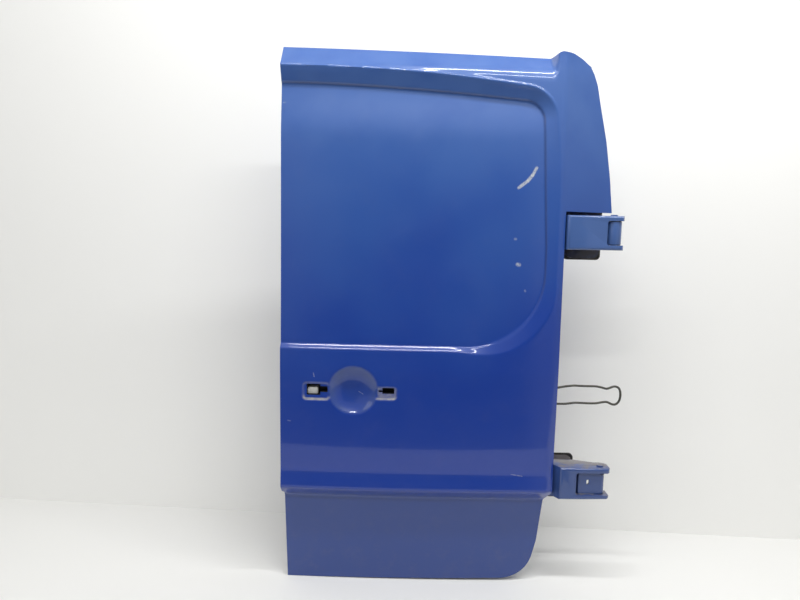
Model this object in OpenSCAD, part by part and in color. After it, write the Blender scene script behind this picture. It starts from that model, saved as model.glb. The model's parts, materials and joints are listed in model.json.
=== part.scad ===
// Right-hand rear barn door of a panel van, taken off the van with both hinge leaves still on it.
// Modelled with X from the closing edge to the hinges, Y from the outside inwards and Z up from
// the bottom edge, then placed with the origin on the lower hinge leaf's mounting face.

/* [Door] */
// Height of the closing edge
door_h = 1424; // [1390:1:1450]
// Width from the closing edge to the hinge edge
door_w = 730; // [715:1:745]
// Thickness of the outer sheet
skin_t = 1.2; // [0.8:0.1:2]
// Thickness of the folded hem along the outline
hem_t = 3.4; // [2.6:0.1:4]
// Width of the folded hem
hem_w = 12; // [10:1:14]
// Thickness of the inner pressing
panel_t = 1.2; // [0.8:0.1:2]
// How far the inner pressing lies behind the window recess
box_depth = 62; // [58:1:70]

/* [Outer form] */
// Height of the ledge under the blanked window
waist_z = 668; // [650:1:690]
// Depth of the blanked window below the frame round it
recess_depth = 11; // [6:1:16]
// Width of the frame between the blanked window and the hinge edge
frame_w = 48; // [44:1:60]
// Corner radius of the blanked window, low on the hinge side
recess_low_r = 195; // [120:5:200]
// Corner radius of the blanked window, high on the hinge side
recess_top_r = 45; // [30:5:80]
// Height of the top of the skirt
skirt_z = 244; // [225:1:250]
// How far the skirt's top lies behind the belly
skirt_step = 34; // [20:1:40]
// Height of the roof edge above the crest under it
roof_h = 52; // [46:1:58]
// How far the roof edge lies behind the crest
roof_back = 45; // [25:1:55]
// Height of the wing above the upper hinge
wing_h = 401; // [390:1:405]
// How far the foot of the wing reaches past the hinge edge
wing_out = 138; // [132:1:150]
// Angle by which the wing turns back
wing_turn = 25; // [18:1:28]
// Bow of the door across its width
bow = 9; // [4:1:12]

/* [Handle place] */
// Middle of the dish from the closing edge
dish_x = 192; // [185:1:200]
// Middle of the dish above the bottom edge
dish_z = 547; // [540:1:555]
// Radius of the dish
dish_r = 64; // [55:1:66]
// Depth of the dish
dish_depth = 18; // [10:1:22]

/* [Hinges] */
// Distance from the wing down to the middle of the upper hinge
hinge_drop = 53; // [49:1:62]
// Height of the middle of the lower hinge
hinge_low_z = 302; // [290:1:320]
// How far the pin axis lies past the hinge edge
pin_out = 128; // [124:1:134]
// Pin axis behind the window recess
pin_y = 10; // [6:1:14]
// Radius of the hinge pins
pin_r = 6; // [5:0.5:7]
// Running clearance between a pin and a leaf
pin_gap = 0.05; // [0.02:0.01:0.1]
// Height of a hinge arm
arm_h = 88; // [84:1:92]
// Wall thickness of a hinge arm
arm_t = 6; // [4:0.5:8]
// Thickness of the ears that hold the pin
ear_t = 13; // [11:0.5:15]
// Radius of the ears round the pin
ear_r = 22; // [20:0.5:24]
// Radius of the upper leaf's barrel
barrel_r = 20; // [16:0.5:20]
// Length of the notch in the upper arm
notch_high = 44; // [42:1:50]
// Length of the notch in the lower arm
notch_low = 90; // [86:1:92]
// Distance from the pin back to a leaf's mounting face
leaf_reach = 90; // [84:1:100]
// Width of a leaf's plate
leaf_w = 92; // [80:1:100]
// Height of a leaf's plate
leaf_h = 119; // [110:1:122]
// Thickness of a leaf's plate
leaf_t = 8; // [6:1:10]
// Radius of a leaf's bolt holes
leaf_hole_r = 5.5; // [4.5:0.5:6.5]
// Distance between a leaf's bolt holes
leaf_pitch = 60; // [50:1:70]

/* [Door check] */
// Height of the middle of the check loop
check_z = 536; // [525:1:555]
// Thickness of the check loop's wire
wire_d = 5.5; // [4:0.5:6]
// Half the height of the check loop
check_half = 24; // [22:1:27]

/* [Hidden] */
$fn = 64;
blue = "#1c3f8f";
fit = 0.3;
eps = 0.01;

crest_z = door_h - roof_h;
wing_z = door_h - wing_h;
hinge_high_z = wing_z - hinge_drop;
pin_x = door_w + pin_out;
wing_w = door_w + wing_out;
recess_x = door_w - frame_w;

// Leaf plates: the upper one hangs low under the wing, the lower one reaches behind the door.
leaf_high_x = pin_x - 101;
leaf_high_h = leaf_h + 10;
leaf_high_z = wing_z + 7 - leaf_high_h / 2;
leaf_low_x = pin_x - 146;
leaf_low_z = hinge_low_z - 17;
face_y = pin_y + leaf_reach;
origin = [leaf_low_x + leaf_w / 2, face_y, leaf_low_z];

// Outline of the door in front view.
left_in = 12;
skirt_in = 18;
corner_r = 90;
corner = [door_w - 128, corner_r + 8];
corner_top = corner + corner_r * [cos(13), -sin(13)];
corner_mid = corner + corner_r / sqrt(2) * [1, -1];
roof_drop = 18;
cap_x = door_w - 50;
WING_END = [wing_w - 87, door_h - 37];
SKIRT_RIGHT = [[corner_top[1], corner_top[0]], [122, door_w - 30], [166, door_w - 26],
    [skirt_z - 2, door_w - skirt_in], [skirt_z + 8, door_w - 11], [skirt_z + 20, door_w], [door_h, door_w]];
WING_RIGHT = [for (k = [[0, 0], [0.24, 11], [0.51, 29], [0.75, 52], [0.88, 64], [0.96, 76], [1, 87]])
    [wing_z + k[0] * (WING_END[1] - wing_z), wing_w - k[1]]];
WING_TOP = [[cap_x, door_h - roof_drop], [cap_x + 8, door_h - 15], [cap_x + 21, door_h - 8],
    [cap_x + 52, door_h - 11], [cap_x + 78, door_h - 22], WING_END];
FRAME = [[0, skirt_step + 4], [skirt_z, skirt_step - 9], [skirt_z + 32, -9], [320, -5], [434, -9],
    [597, -14], [900, -11], [crest_z - 12, -11], [crest_z, -9], [door_h, roof_back - 9]];

function clamp(v) = min(1, max(0, v));
function smooth(v) = let (c = clamp(v)) c * c * (3 - 2 * c);
function ramp(a, b, v) = smooth((v - a) / (b - a));
function left_x(z) = z > skirt_z + 10 ? 0 : lookup(z, [[0, left_in], [skirt_z, left_in / 2]]);
function right_x(z) = z < corner_top[1] ? corner[0] + sqrt(pow(corner_r, 2) - pow(corner[1] - z, 2))
    : lookup(z, SKIRT_RIGHT);
function wing_x(z) = lookup(z, WING_RIGHT);
function bottom_z(x) = x < corner[0] ? 8 * clamp(x / corner[0])
    : corner[1] - sqrt(pow(corner_r, 2) - pow(min(x, corner_mid[0]) - corner[0], 2));
function top_z(x) = x < cap_x ? door_h - roof_drop * x / cap_x : lookup(x, WING_TOP);

// How far a point lies inside the blanked window's floor, and how wide the slope round it is there.
function recess_right(z) = recess_x - 18 * clamp((z - crest_z + 449) / 321);
function recess_top(x) = crest_z - 43 - 32 * pow(clamp(x / recess_x), 1.6);
function recess_in(x, z) = let (a = recess_right(z) - x, b = z - waist_z, c = recess_top(x) - z)
    a < recess_low_r && b < recess_low_r ? recess_low_r - norm([recess_low_r - a, recess_low_r - b])
    : a < recess_top_r && c < recess_top_r ? recess_top_r - norm([recess_top_r - a, recess_top_r - c])
    : min(a, b, c);
slope_w = 40;
ledge_w = 11;
function recess_slope(x, z) = ledge_w + (slope_w - ledge_w) * max(ramp(recess_x - 250, recess_x - 30, x),
    ramp(waist_z + 90, waist_z + 250, z)) - 8 * ramp(recess_x / 2, recess_x, x) * ramp(crest_z - 222, crest_z - 122, z);
function recess(x, z) = let (w = recess_slope(x, z), t = clamp(1 + recess_in(x, z) / w))
    (recess_depth + 12 * ramp(crest_z - 111, crest_z - 37, z)) * t;
function dish(x, z) = let (d = norm([x - dish_x, z - dish_z]) / dish_r)
    d < 1 ? dish_depth * (1 - d * d) : 0;
turn_x = door_w - 24;
function turned(x) = let (d = x - turn_x) d < 0 ? 0 : d < 16 ? tan(wing_turn) * d * d / 32
    : tan(wing_turn) * (d - 8);
function bowed(x) = -bow * (1 - pow(min(1, abs(x / (door_w / 2) - 1)), 2));

// Shallow pads round the handle's two slots.
pad_depth = 3;
PADS = [for (p = [[-134, -29, 74, 50], [54, -24, 62, 36]]) [dish_x + p[0], dish_z + p[1], p[2], p[3]]];
function pad(x, z) = pad_depth * max([for (p = PADS) ramp(0, 5, min(x - p[0], p[0] + p[2] - x, z - p[1],
    p[1] + p[3] - z))]);

// The roof edge falls back behind the crest, less so on the wing; the crest drops to the hinge side.
crest_drop = 10;
wing_roof = 0.3;
function frame_y(x, z) = let (drop = crest_drop * clamp(x / cap_x) * ramp(crest_z - 122, crest_z - 22, z),
    y = lookup(z + drop, FRAME),
    roof = y + 11)
    z < crest_z - 20 || roof < 0 ? y : y - roof * (1 - wing_roof) * ramp(cap_x - 30, cap_x + 60, x);

// Outer face of the door.
function skin_y(x, z) = frame_y(x, z) + bowed(x) + recess(x, z) + max(dish(x, z), pad(x, z)) + turned(x);
function slope(x, z) = [(skin_y(x + 1, z) - skin_y(x - 1, z)) / 2, (skin_y(x, z + 1) - skin_y(x, z - 1)) / 2];
function inward(x, z) = let (s = slope(x, z)) [-s[0], 1, -s[1]] / norm([s[0], 1, s[1]]);
function behind(x, z, t) = skin_y(x, z) + t * norm([1, slope(x, z)[0], slope(x, z)[1]]);

// Slots for the handle, each of two rectangles: low x, high x, low z, high z.
SLOTS = [for (s = [[-122, -86, -15, 15], [-86, -67, -7, 9], [67, 77, -3, 2], [77, 108, -7, 9]])
    [dish_x + s[0], dish_x + s[1], dish_z + s[2], dish_z + s[3]]];

// Grid lines of the sheet: fractions of the width up to the hinge edge, then across the wing.
function between(a, b, n) = [for (k = [1:n]) a + (b - a) * k / (n + 1)];
rim_l = hem_w + 3;
slot_end = dish_x + 116;
XS = concat([0, 4, hem_w, rim_l, 44], [for (d = [-134, -129, -122, -86, -67]) dish_x + d],
    between(dish_x - 67, dish_x + 67, 8), [for (d = [67, 77, 108, 116]) dish_x + d],
    between(slot_end, recess_x - 150, 3), [for (d = [-150, -110, -75, -45, -20, -4, 8, 22]) recess_x + d],
    [door_w - rim_l, door_w - hem_w, door_w]);
WS = [0.15, 0.35, 0.6, 0.8, 0.9, 1];
over = wing_z + hem_w + 3;
ZS = concat([0, 4, hem_w, rim_l, 40, 70, 100], between(100, skirt_z - 8, 2),
    [for (d = [-8, 0, 8, 24, 32, 44]) skirt_z + d], between(skirt_z + 44, dish_z - 64, 3),
    [for (d = [-64, -52, -40, -29, -24, -15, -7, -3, 2, 9, 15, 24, 36, 48, 60]) dish_z + d],
    [for (d = [-40, -22, -11, -5, 0, 10]) waist_z + d], between(waist_z + 10, wing_z, 7),
    [wing_z, wing_z + 3, wing_z + hem_w, over],
    between(over, crest_z - 111, 3), [for (d = [-111, -92, -76, -62, -50, -38, -26, -14, -6, 0]) crest_z + d]);
TS = [0.25, 0.5, 0.75, 0.92, 1];
nx = len(XS) + len(WS);
nz = len(ZS) + len(TS);
wing_row = search(wing_z, ZS)[0];
foot_z = 130;
function foot(z) = clamp(1 - z / foot_z);
function row_z(j) = j < len(ZS) ? ZS[j] : crest_z + (WING_END[1] - crest_z) * TS[j - len(ZS)];
function edge_z(j) = let (z = row_z(j)) z + (corner_mid[1]) * foot(z);
function grid_x(i, j) = let (z = row_z(j), l = left_x(z), r = right_x(edge_z(j)))
    i < len(XS) ? l + XS[i] / door_w * (r - l)
    : r + WS[i - len(XS)] * (wing_x(max(z, wing_z)) - r);
function foot_x(i) = left_in + XS[min(i, len(XS) - 1)] / door_w * (corner_mid[0] - left_in);
function grid_z(i, j, x) = j < len(ZS) ? ZS[j] + bottom_z(foot_x(i)) * foot(ZS[j])
    : crest_z + (top_z(x) - crest_z) * TS[j - len(ZS)];
function grid_pt(i, j) = let (x = grid_x(i, j)) [x, grid_z(i, j, x)];
function in_slot(i, j) = i < len(XS) - 1 && j < len(ZS) - 1 && max([for (s = SLOTS)
    (XS[i] >= s[0] && XS[i + 1] <= s[1] && ZS[j] >= s[2] && ZS[j + 1] <= s[3]) ? 1 : 0]) > 0;
function present(i, j) = i >= 0 && j >= 0 && i < nx - 1 && j < nz - 1 && (i < len(XS) - 1 || j >= wing_row)
    && !in_slot(i, j);
function at_hem(i, j) = i < 3 || j < 3 || j > nz - 3 || i > nx - 3
    || (i > len(XS) - 3 && j <= wing_row + 2) || (i > len(XS) - 3 && j >= wing_row && j < wing_row + 3);
function sheet(i, j) = at_hem(i, j) ? hem_t : skin_t;

module shell(first, last, row, depth, thick) {
    rows = nz - row;
    cols = last - first + 1;
    cells = [for (i = [first:last], j = [row:nz - 1]) grid_pt(i, j)];
    near = [for (n = [0:len(cells) - 1]) let (p = cells[n], a = [p[0], skin_y(p[0], p[1]), p[1]])
        a + inward(p[0], p[1]) * depth[n]];
    far = [for (n = [0:len(cells) - 1]) let (p = cells[n]) near[n] + inward(p[0], p[1]) * thick[n]];
    m = len(cells);
    on = function(i, j) i >= 0 && j >= 0 && i < cols - 1 && j < rows - 1 && present(i + first, j + row);
    at = function(i, j) i * rows + j;
    quads = [for (i = [0:cols - 2], j = [0:rows - 2]) if (on(i, j)) each concat(
        [[at(i, j), at(i, j + 1), at(i + 1, j + 1)], [at(i, j), at(i + 1, j + 1), at(i + 1, j)],
         [m + at(i, j), m + at(i + 1, j + 1), m + at(i, j + 1)],
         [m + at(i, j), m + at(i + 1, j), m + at(i + 1, j + 1)]],
        on(i - 1, j) ? [] : [[at(i, j), m + at(i, j), m + at(i, j + 1)],
            [at(i, j), m + at(i, j + 1), at(i, j + 1)]],
        on(i + 1, j) ? [] : [[at(i + 1, j), at(i + 1, j + 1), m + at(i + 1, j + 1)],
            [at(i + 1, j), m + at(i + 1, j + 1), m + at(i + 1, j)]],
        on(i, j - 1) ? [] : [[at(i, j), at(i + 1, j), m + at(i + 1, j)],
            [at(i, j), m + at(i + 1, j), m + at(i, j)]],
        on(i, j + 1) ? [] : [[at(i, j + 1), m + at(i, j + 1), m + at(i + 1, j + 1)],
            [at(i, j + 1), m + at(i + 1, j + 1), at(i + 1, j + 1)]])];
    polyhedron(points = concat(near, far), faces = quads, convexity = 10);
}

module place() {
    translate(-origin) children();
}

module outer_skin() {
    color(blue) place() shell(0, nx - 1, 0,
        [for (i = [0:nx - 1], j = [0:nz - 1]) 0],
        [for (i = [0:nx - 1], j = [0:nz - 1]) sheet(i, j)]);
}

// Inner sheet of the wing, spaced off the outer one between its edges.
wing_gap = 9;
module wing_inner() {
    first = len(XS) - 1;
    color(blue) place() shell(first, nx - 1, wing_row,
        [for (i = [first:nx - 1], j = [wing_row:nz - 1]) hem_t + 2 * fit
            + wing_gap * ((i > first + 1 && i < nx - 2 && j > wing_row + 4 && j < nz - 5) ? 1 : 0)],
        [for (i = [first:nx - 1], j = [wing_row:nz - 1]) panel_t]);
}

// The inner pressing: a wall that follows the outline, closed by a flat web with its openings.
wall_in = 8;
seam = 0.8;
web_y = box_depth;
wall_x = door_w - wall_in;
SIDE_Z = [for (k = [0:len(ZS) - 1])
    if (ZS[k] > corner[1] && (k % 2 == 0 || abs(ZS[k] - dish_z) > dish_r + 2)) ZS[k]];
top_out = door_w - 44;
TOP_X = concat([wall_in + 10], between(wall_in + 10, top_out, 6), [top_out, wall_x - 16]);
FOOT = [for (a = [13:19:90]) corner + (corner_r - wall_in) * [cos(a), -sin(a)]];
RIM = concat([for (z = SIDE_Z) [left_x(z) + wall_in, z]],
    [for (x = TOP_X) [x, top_z(min(x, cap_x)) - wall_in - (x > top_out ? 6 : 0)]],
    [for (k = [len(SIDE_Z) - 1:-1:0]) [right_x(SIDE_Z[k]) - wall_in, SIDE_Z[k]]],
    FOOT, [for (x = between(corner[0], 60, 6)) [x, bottom_z(x) + wall_in]],
    [[left_in + wall_in + 10, wall_in], [left_in + wall_in + 1, wall_in + 9]]);
function seat(p) = max([for (d = [-5, 0, 5]) behind(p[0], p[1] + d, hem_t)]) + seam;
function unit(v) = v / norm(v);
function rim_at(n) = RIM[(n + len(RIM)) % len(RIM)];
function rim_in(n, t) = let (d = unit(rim_at(n + 1) - rim_at(n - 1))) rim_at(n) + t * [d[1], -d[0]];

module rim_wall(t) {
    n = len(RIM);
    pts = [for (k = [0:n - 1]) let (a = rim_at(k), b = rim_in(k, t),
        f = max(seat(a), seat(b)))
        each [[a[0], f, a[1]], [b[0], f, b[1]], [b[0], web_y, b[1]], [a[0], web_y, a[1]]]];
    faces = [for (k = [0:n - 1], s = [0:3]) let (u = (s + 1) % 4, q = (k + 1) % n)
        each [[4 * k + s, 4 * q + s, 4 * q + u], [4 * k + s, 4 * q + u, 4 * k + u]]];
    polyhedron(points = pts, faces = faces, convexity = 10);
}

module rim_area(t) {
    polygon([for (k = [0:len(RIM) - 1]) rim_in(k, t)]);
}

module upright(y, t) {
    translate([0, y, 0]) rotate([90, 0, 0]) translate([0, 0, -t]) linear_extrude(t) children();
}

module rounded_window(x, z, w, h, r) {
    translate([x + r, z]) square([w - 2 * r, h]);
    translate([x, z + r]) square([w, h - 2 * r]);
    for (i = [0, 1], j = [0, 1])
        translate([x + r + i * (w - 2 * r), z + r + j * (h - 2 * r)]) circle(r);
}

// Inner frame of welded members. Each takes its share of the wall that follows the outline and of
// the flat web; the openings left between them have rounded corners.
col_l = 64;
col_r = door_w - 86;
hatch_h = 270;
hatch_low = [90, 110];
window_z = waist_z + 67;
window_h = crest_z - 77 - window_z;
WINDOW = [col_l, window_z, col_r - col_l, window_h];
hatch_z = skirt_z + 86;
post_w = 36;
post_x = (col_l + col_r - post_w) / 2;
HATCHES = [for (x = [col_l, post_x + post_w], r = [[hatch_z, hatch_h], hatch_low])
    [x, r[0], post_x - col_l, r[1]]];
opening_r = 20;
check_slot = [12, 64];
latch_slot = [25, 60, 24];
module frame_member(low, high, wall) {
    color(blue) place() intersection() {
        union() {
            if (wall) rim_wall(panel_t);
            difference() {
                upright(web_y - eps, panel_t) rim_area(0);
                upright(web_y - 2, panel_t + 6) for (h = concat([WINDOW], HATCHES))
                    rounded_window(h[0], h[1], h[2], h[3], opening_r);
            }
        }
        translate([low[0], -60, low[1]]) cube([high[0] - low[0], 300, high[1] - low[1]]);
    }
}
far = 2000;
cut = fit / 2;
module inner_side_latch() {
    difference() {
        frame_member([-10, -10], [col_l - cut, far], true);
        color(blue) place() translate([0, 30, latch_z - latch_slot[2] / 2]) cube(latch_slot);
    }
}
module inner_side_hinge() {
    difference() {
        frame_member([col_r + cut, -10], [far, far], true);
        color(blue) place() {
            for (b = UPPER_BOLTS) bar_x(wall_x - 20, bolt_y, hinge_high_z + b, bolt_r + fit, 40);
            for (b = LOWER_BOLTS) bar_x(wall_x - 20, bolt_y, hinge_low_z + b, bolt_r + fit, 40);
            translate([wall_x - 20, check_y - check_slot[0] / 2, check_z - check_slot[1] / 2])
                cube([40, check_slot[0], check_slot[1]]);
        }
    }
}
module inner_header() {
    frame_member([col_l + cut, WINDOW[1] + window_h - opening_r - cut], [col_r - cut, far], true);
}
module inner_waist() {
    frame_member([col_l + cut, hatch_z + hatch_h - opening_r - cut],
        [col_r - cut, WINDOW[1] + opening_r + cut], false);
}
module inner_belly() {
    frame_member([col_l + cut, hatch_low[0] + hatch_low[1] - opening_r - cut],
        [col_r - cut, hatch_z + opening_r + cut], false);
}
module inner_sill() {
    frame_member([col_l + cut, -10], [col_r - cut, hatch_low[0] + opening_r + cut], true);
}
module inner_posts() {
    for (r = [[hatch_z, hatch_h], hatch_low])
        frame_member([post_x - 1, r[0] + opening_r + 3 * cut],
            [post_x + post_w + 1, r[0] + r[1] - opening_r - 3 * cut], false);
}

// Hat-section rail across the door under the window, and two lighter bars behind the blanked window.
rail_front = 20;
rail_h = 60;
rail_t = 1.5;
bar_front = 15;
bar_h = 30;
bar_t = 1.2;
flange = 14;
module hat_bar(in, z, h, front, t) {
    back = web_y - fit;
    low = -h / 2;
    translate([in, 0, z]) rotate([90, 0, 90]) linear_extrude(door_w - 2 * in) polygon([
        [back, low - flange], [back, low], [front + t, low], [front + t, -low], [back, -low],
        [back, flange - low], [back - t, flange - low], [back - t, t - low], [front, t - low],
        [front, low - t], [back - t, low - t], [back - t, low - flange]]);
}
module waist_rail() {
    color(blue) place() hat_bar(wall_in + 12, waist_z + 4, rail_h, rail_front, rail_t);
}
BAR_Z = [window_z + 0.295 * window_h, window_z + 0.67 * window_h];
bar_in = 39;
module window_bars() {
    color(blue) place() for (z = BAR_Z)
        hat_bar(bar_in, z, bar_h, bar_front, bar_t);
}

module bar_x(x, y, z, r, l) {
    translate([x, y, z]) rotate([0, 90, 0]) cylinder(r = r, h = l);
}
module bar_y(x, y, z, r, l) {
    translate([x, y, z]) rotate([-90, 0, 0]) cylinder(r = r, h = l);
}

// Carrier of the missing outside handle, with a pocket behind each slot of the sheet.
carrier_y = 14;
carrier_t = 3;
carrier = [270, 70];
pocket_y = -6;
post_r = 8;
module handle_carrier() {
    color("dimgray") place() difference() {
        union() {
            upright(carrier_y, carrier_t)
                rounded_window(dish_x - carrier[0] / 2, dish_z - carrier[1] / 2, carrier[0], carrier[1], 12);
            for (p = PADS) upright(pocket_y, carrier_y - pocket_y + eps)
                rounded_window(p[0] + 2, p[1] + 2, p[2] - 4, p[3] - 4, 3);
            for (s = [-1, 1]) bar_y(dish_x + s * (carrier[0] / 2 - post_r - 2), carrier_y + carrier_t - eps,
                dish_z, post_r, web_y - carrier_y - carrier_t - fit);
        }
        for (s = SLOTS) upright(pocket_y - 2, 40)
            translate([s[0], s[2]]) square([s[1] - s[0] + eps, s[3] - s[2]]);
    }
}
lever = [31, 24, 18];
module handle_lever() {
    color("gainsboro") place() translate([SLOTS[0][0] + fit, 0, SLOTS[0][2] + fit]) cube(lever);
}

// Rotary latch on the closing edge.
latch_z = dish_z;
latch_cut = 28;
module latch_case() {
    color("silver") place() difference() {
        translate([wall_in + panel_t + fit, 20, latch_z - 45]) cube([34, web_y - 20 - fit, 90]);
        translate([wall_in, 26, latch_z - latch_cut / 2]) cube([24, 60, latch_cut]);
    }
}
module latch_claw() {
    color("dimgray") place() difference() {
        bar_x(wall_in + panel_t + 6, 44, latch_z, 13.5, 8);
        translate([wall_in, 40, latch_z - 5]) cube([30, 30, 10]);
    }
}
module inner_release() {
    color("black") place() {
        upright(web_y + panel_t + fit, 5) rounded_window(110, waist_z - 40, 120, 44, 10);
        upright(web_y + panel_t + fit + 5, 14) rounded_window(124, waist_z - 26, 74, 16, 6);
    }
}

// Hinges. The arm is bolted to the hinge-side wall and comes forward round the sheet's edge.
root_x = wall_x + fit;
root_t = 6;
root_h = arm_h + 40;
root_y = [14, web_y - 2];
arm_front = pin_y - ear_r;
arm_from_high = door_w + 4;
arm_from_low = door_w + 16;
arm_clear = 2;
side_r = 9;
edge_r = 7;
notch_r = 6;
arm_taper = 6;
pin_up = 5;
bolt_dz = arm_h / 2 + 10;
bolt_in = arm_h / 4;
bolt_r = 5;
bolt_y = 42;
plate_t = 3;
root_low = [-root_h / 2, 10 - arm_h / 2];
UPPER_BOLTS = [-bolt_dz, -bolt_in, bolt_in, bolt_dz];
LOWER_BOLTS = [-bolt_in, bolt_in, bolt_dz];
module arm_plan(from, inset) {
    start = root_x + root_t - (inset > 0 ? 0 : 0.5);
    r = side_r - inset;
    polygon(concat([[start, root_y[0] + inset], [door_w + 4 + inset, root_y[0] + inset]],
        [for (a = [190:16:270]) [from + side_r, arm_front + side_r] + r * [cos(a), sin(a)]],
        [[pin_x, arm_front + inset], [pin_x, pin_y + ear_r - inset],
        [pin_x - 60, root_y[1] + (inset > 0 ? 40 : -6)], [start, root_y[1] + (inset > 0 ? 40 : -2)]]));
}
module arm_body(from) {
    half = arm_h / 2;
    translate([0, 0, -half]) linear_extrude(arm_h) {
        arm_plan(from, 0);
        translate([pin_x, pin_y]) intersection() {
            circle(ear_r * 1.2);
            translate([-2 * ear_r, -ear_r]) square([3 * ear_r, 3 * ear_r]);
        }
    }
}
module hinge_arm(z, from, notch, taper, low, bolts) {
    half = arm_h / 2;
    notch_x = pin_x + ear_r - notch;
    color(blue) place() translate([0, 0, z]) difference() {
        union() {
            translate([root_x, root_y[0], low]) cube([root_t, root_y[1] - root_y[0], root_h / 2 - low]);
            intersection() {
                arm_body(from);
                translate([root_x, 0, 0]) rotate([90, 0, 90]) linear_extrude(300)
                    rounded_window(arm_front, -half, 150, arm_h, edge_r);
            }
        }
        translate([0, 0, arm_t - half]) linear_extrude(arm_h - 2 * arm_t) intersection() {
            arm_plan(from, arm_t);
            translate([0, -50]) square([notch_x, 200]);
        }
        translate([notch_x - eps, arm_front + arm_t, ear_t - half]) cube([notch + 40, 200, arm_h - 2 * ear_t]);
        upright(arm_front - 1, arm_t + 1 + eps)
            rounded_window(notch_x - eps, ear_t - half, notch + 40, arm_h - 2 * ear_t, notch_r);
        upright(-100, 300) polygon([[from, -half], [pin_x + 2 * ear_r, taper - half],
            [pin_x + 2 * ear_r, -half - 20], [from, -half - 20]]);
        translate([pin_x, pin_y, -arm_h]) cylinder(r = pin_r + 0.02, h = 2 * arm_h);
        for (b = bolts) bar_x(root_x - 5, bolt_y, b, bolt_r + fit, root_t + 10);
    }
}
module hinge_plate(z, low, bolts) {
    color(blue) place() difference() {
        translate([wall_x - panel_t - fit - plate_t, root_y[0] + 6, z + low + 4])
            cube([plate_t, root_y[1] - root_y[0] - 8, root_h / 2 - low - 4]);
        for (b = bolts) bar_x(wall_x - 20, bolt_y, z + b, bolt_r + fit, 30);
    }
}
module hinge_bolts(z, bolts) {
    color(blue) place() for (b = bolts) {
        bar_x(wall_x - panel_t - plate_t - 8, bolt_y, z + b, bolt_r, root_t + plate_t + 11);
        bar_x(root_x + root_t + eps, bolt_y, z + b, 8.5, 5);
    }
}
module hinge_pin(z) {
    color("silver") place() translate([pin_x, pin_y, z]) {
        translate([0, 0, pin_up - arm_h / 2]) cylinder(r = pin_r, h = arm_h - pin_up);
        translate([0, 0, arm_h / 2 + eps]) cylinder(r = pin_r + 3, h = 3);
    }
}
// A leaf: a plate on the pillar, a barrel between the ears and a web that joins them. The upper web
// runs straight back; the lower one comes forward and ends in a flat face beside the barrel.
leaf_corner = 20;
rubber_corner = 12;
web_t = 8;
slot_w = 7;
slot_h = 13;
LEAF_HIGH = [[pin_x - 10, pin_y - 9], [leaf_high_x + 44, face_y - leaf_t + 1],
    [leaf_high_x + 58, face_y - leaf_t + 1], [pin_x + 2, pin_y + 12]];
low_foot = leaf_low_x + leaf_w - web_t;
low_barrel = 12;
flat_y = pin_y - low_barrel;
LEAF_LOW = [[low_foot + 3, flat_y], [pin_x, flat_y], [pin_x, pin_y], [pin_x - low_barrel + 2, flat_y + 6],
    [low_foot + web_t + 4, flat_y + 6], [low_foot + web_t, flat_y + 10],
    [low_foot + web_t, face_y - leaf_t + 1], [low_foot, face_y - leaf_t + 1], [low_foot, flat_y + 9]];
module hinge_leaf(x, z, h, pin_z, plan, barrel, top) {
    half = arm_h / 2 - ear_t - arm_clear;
    color(blue) place() difference() {
        union() {
            upright(face_y - leaf_t, leaf_t) rounded_window(x, z - h / 2, leaf_w, h, leaf_corner);
            translate([0, 0, pin_z - half]) linear_extrude(2 * half - top) {
                translate([pin_x, pin_y]) circle(barrel);
                polygon(plan);
            }
        }
        translate([pin_x, pin_y, pin_z - 100]) cylinder(r = pin_r + pin_gap, h = 200);
        for (s = [-1, 1]) bar_y(x + 24, face_y - 20, z + s * leaf_pitch / 2, leaf_hole_r, 40);
        if (top > 0) translate([pin_x - 34, 0, pin_z + 3])
            upright(-8, 18) rounded_window(-slot_w / 2, -slot_h / 2, slot_w, slot_h, slot_w / 2 - eps);
    }
}
module leaf_rubber(x, z, h) {
    rim = 4;
    edge = rim + fit;
    color("black") place() upright(face_y - 6, 6) difference() {
        rounded_window(x - edge, z - h / 2 - edge, leaf_w + 2 * edge, h + 2 * edge, rubber_corner);
        rounded_window(x - fit, z - h / 2 - fit, leaf_w + 2 * fit, h + 2 * fit, leaf_corner + fit);
    }
}

// Door check: a wire loop that slides through a roller case on the hinge-side wall.
check_y = 30;
loop_in = door_w - 90;
NECK = [[0, 1], [102, 1], [142, 0.77], [162, 1.06], [174, 0.75], [180, 0.3]];
function loop_half() = concat(
    [for (a = [0:30:90]) [loop_in + check_half * (1 - cos(a)), check_half * sin(a)]],
    [for (d = [-30, 40, 102, 116, 130, 142, 152, 162, 170, 176, 179])
        [door_w + d, check_half * lookup(d, NECK)]]);
LOOP = let (h = loop_half()) concat(h, [for (k = [len(h) - 1:-1:1]) [h[k][0], -h[k][1]]]);
module wire_loop(pts, r, sides) {
    n = len(pts);
    ring = [for (k = [0:n - 1]) let (d = unit(pts[(k + 1) % n] - pts[(k + n - 1) % n]), u = [-d[1], d[0]])
        each [for (s = [0:sides - 1]) let (a = 360 * s / sides)
            [pts[k][0] + r * cos(a) * u[0], r * sin(a), pts[k][1] + r * cos(a) * u[1]]]];
    faces = [for (k = [0:n - 1], s = [0:sides - 1]) let (u = (s + 1) % sides, q = (k + 1) % n)
        each [[sides * k + s, sides * q + u, sides * q + s], [sides * k + s, sides * k + u, sides * q + u]]];
    polyhedron(points = ring, faces = faces, convexity = 10);
}
module check_loop() {
    color("silver") place() translate([0, check_y, check_z]) wire_loop(LOOP, wire_d / 2, 8);
}
case_w = 36;
case_y = 14;
case_room = 14;
roller_z = 12;
module check_case() {
    color("dimgray") place() translate([wall_x - panel_t - fit - case_w, 0, check_z]) difference() {
        translate([0, case_y, -34]) cube([case_w, web_y - case_y - fit, 68]);
        translate([-1, check_y - case_room / 2, -29]) cube([case_w + 2, case_room, 58]);
    }
}
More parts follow.
